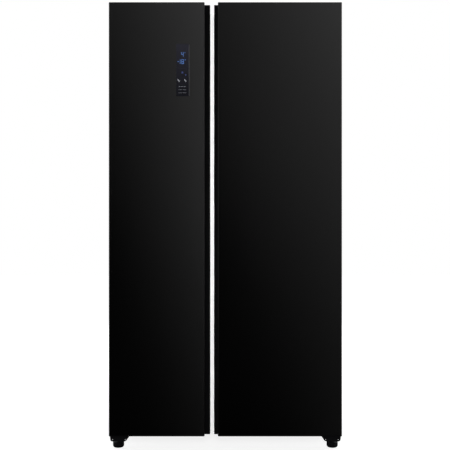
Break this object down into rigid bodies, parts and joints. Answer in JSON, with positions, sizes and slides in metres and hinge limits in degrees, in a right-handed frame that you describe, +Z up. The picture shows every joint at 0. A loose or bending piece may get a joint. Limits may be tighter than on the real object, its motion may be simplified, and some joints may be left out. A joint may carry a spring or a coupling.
{
  "type": "side by side refrigerator",
  "caption": "Free-standing side by side refrigerator with full-height finger grips between its flat doors, a door display, drawers, shelves, bins and a rear machine room.",
  "frame": {"origin": "on the floor, at the centre of the overall footprint", "axes": "+X to the right seen from the front, +Y towards the back, +Z up"},
  "size_m": [0.908, 0.65, 1.746],
  "materials": {
    "black_painted_steel": "satin",
    "dark_plastic": "matte",
    "dark_cabinet": "satin",
    "white_liner": "satin",
    "clear_plastic": "clear",
    "shelf_glass": "clear",
    "pale_gasket": "matte",
    "pale_steel": "satin",
    "foam": "matte",
    "zinc_steel": "zinc plated",
    "display_glass": "gloss",
    "fin_aluminium": "bright",
    "black_steel": "semi-gloss",
    "copper_pipe": "drawn",
    "soft_rubber": "matte",
    "grey_plastic": "matte",
    "lamp_lens": "frosted"
  },
  "bodies": {
    "cabinet": {"cabinet_wrapper": "dark_cabinet", "rear_panel": "zinc_steel", "rear_spacers": "dark_plastic", "base_pan": "zinc_steel", "front_crossmember": "black_steel", "mullion_cover": "pale_steel", "freezer_liner": "white_liner", "fridge_liner": "white_liner", "cabinet_foam": "foam", "base_rails": "zinc_steel", "upper_hinges": "zinc_steel", "hinge_covers": "dark_plastic", "lower_hinges": "black_steel", "hinge_screws": "zinc_steel", "shelf_glass": "shelf_glass", "shelf_trims": "clear_plastic", "compartment_lamps": "lamp_lens", "ice_maker_frame": "clear_plastic", "evaporator": "fin_aluminium", "freezer_duct_cover": "white_liner", "fridge_duct_cover": "white_liner", "fan_frames": "grey_plastic", "machine_tray": "zinc_steel", "compressor": "black_steel", "condenser": "fin_aluminium", "drain_pan": "grey_plastic", "machine_room_cover": "zinc_steel", "control_box": "grey_plastic", "refrigerant_pipes": "copper_pipe", "machine_room_grommets": "soft_rubber"},
    "freezer_door": {"control_panel_lens": "display_glass", "control_panel_housing": "dark_plastic", "freezer_door_skin": "black_painted_steel", "freezer_door_grip": "dark_plastic", "freezer_door_end_caps": "dark_plastic", "freezer_door_foam": "foam", "freezer_door_liner": "white_liner", "freezer_door_gasket": "pale_gasket", "freezer_door_bins": "clear_plastic"},
    "fridge_door": {"fridge_door_skin": "black_painted_steel", "fridge_door_grip": "dark_plastic", "fridge_door_end_caps": "dark_plastic", "fridge_door_foam": "foam", "fridge_door_liner": "white_liner", "fridge_door_gasket": "pale_gasket", "fridge_door_bins": "clear_plastic"},
    "left_foot": {"left_foot": "dark_plastic"},
    "right_foot": {"right_foot": "dark_plastic"},
    "left_roller": {"left_roller": "grey_plastic"},
    "right_roller": {"right_roller": "grey_plastic"},
    "condenser_fan_blades": {"condenser_fan_blades": "grey_plastic"},
    "evaporator_fan_blades": {"evaporator_fan_blades": "grey_plastic"},
    "freezer_drawer_lower": {"freezer_drawer_lower": "clear_plastic"},
    "freezer_drawer_upper": {"freezer_drawer_upper": "clear_plastic"},
    "crisper_lower": {"crisper_lower": "clear_plastic"},
    "crisper_upper": {"crisper_upper": "clear_plastic"},
    "ice_tray": {"ice_tray": "grey_plastic"},
    "ice_bin": {"ice_bin": "clear_plastic"}
  },
  "joints": [
    {"name": "freezer_door_hinge", "type": "hinge", "parent": "cabinet", "child": "freezer_door", "pos_m": [-0.438, -0.29, 0.9], "axis": [0, 0, -1], "range_deg": [0, 120]},
    {"name": "fridge_door_hinge", "type": "hinge", "parent": "cabinet", "child": "fridge_door", "pos_m": [0.438, -0.29, 0.9], "axis": [0, 0, 1], "range_deg": [0, 120]},
    {"name": "freezer_drawer_upper_slide", "type": "slide", "parent": "cabinet", "child": "freezer_drawer_upper", "axis": [0, -1, 0], "range_m": [0, 0.21]},
    {"name": "freezer_drawer_lower_slide", "type": "slide", "parent": "cabinet", "child": "freezer_drawer_lower", "axis": [0, -1, 0], "range_m": [0, 0.126]},
    {"name": "crisper_upper_slide", "type": "slide", "parent": "cabinet", "child": "crisper_upper", "axis": [0, -1, 0], "range_m": [0, 0.21]},
    {"name": "crisper_lower_slide", "type": "slide", "parent": "cabinet", "child": "crisper_lower", "axis": [0, -1, 0], "range_m": [0, 0.126]},
    {"name": "ice_bin_slide", "type": "slide", "parent": "cabinet", "child": "ice_bin", "axis": [0, -1, 0], "range_m": [0, 0.105]},
    {"name": "ice_tray_twist", "type": "hinge", "parent": "cabinet", "child": "ice_tray", "pos_m": [-0.23913, 0.005, 1.162], "axis": [0, 1, 0], "range_deg": [0, 120], "stiffness_Nm_per_rad": 0.3},
    {"name": "left_foot_turn", "type": "hinge", "parent": "cabinet", "child": "left_foot", "pos_m": [-0.424, -0.262, 0.03], "axis": [0, 0, 1], "continuous": true},
    {"name": "left_roller_spin", "type": "hinge", "parent": "cabinet", "child": "left_roller", "pos_m": [-0.424, 0.262, 0.02], "axis": [1, 0, 0], "continuous": true},
    {"name": "right_foot_turn", "type": "hinge", "parent": "cabinet", "child": "right_foot", "pos_m": [0.424, -0.262, 0.03], "axis": [0, 0, 1], "continuous": true},
    {"name": "right_roller_spin", "type": "hinge", "parent": "cabinet", "child": "right_roller", "pos_m": [0.424, 0.262, 0.02], "axis": [1, 0, 0], "continuous": true},
    {"name": "condenser_fan_spin", "type": "hinge", "parent": "cabinet", "child": "condenser_fan_blades", "pos_m": [0.044, 0.2185, 0.099], "axis": [1, 0, 0], "continuous": true},
    {"name": "evaporator_fan_spin", "type": "hinge", "parent": "cabinet", "child": "evaporator_fan_blades", "pos_m": [-0.23913, 0.203, 0.836], "axis": [0, 1, 0], "continuous": true}
  ],
  "couplings": [
    {"joint": "freezer_drawer_upper_slide", "follows": "freezer_door_hinge", "m_per_rad": 0.1},
    {"joint": "freezer_drawer_lower_slide", "follows": "freezer_door_hinge", "m_per_rad": 0.06},
    {"joint": "crisper_upper_slide", "follows": "fridge_door_hinge", "m_per_rad": 0.1},
    {"joint": "crisper_lower_slide", "follows": "fridge_door_hinge", "m_per_rad": 0.06},
    {"joint": "ice_bin_slide", "follows": "freezer_door_hinge", "m_per_rad": 0.05}
  ]
}
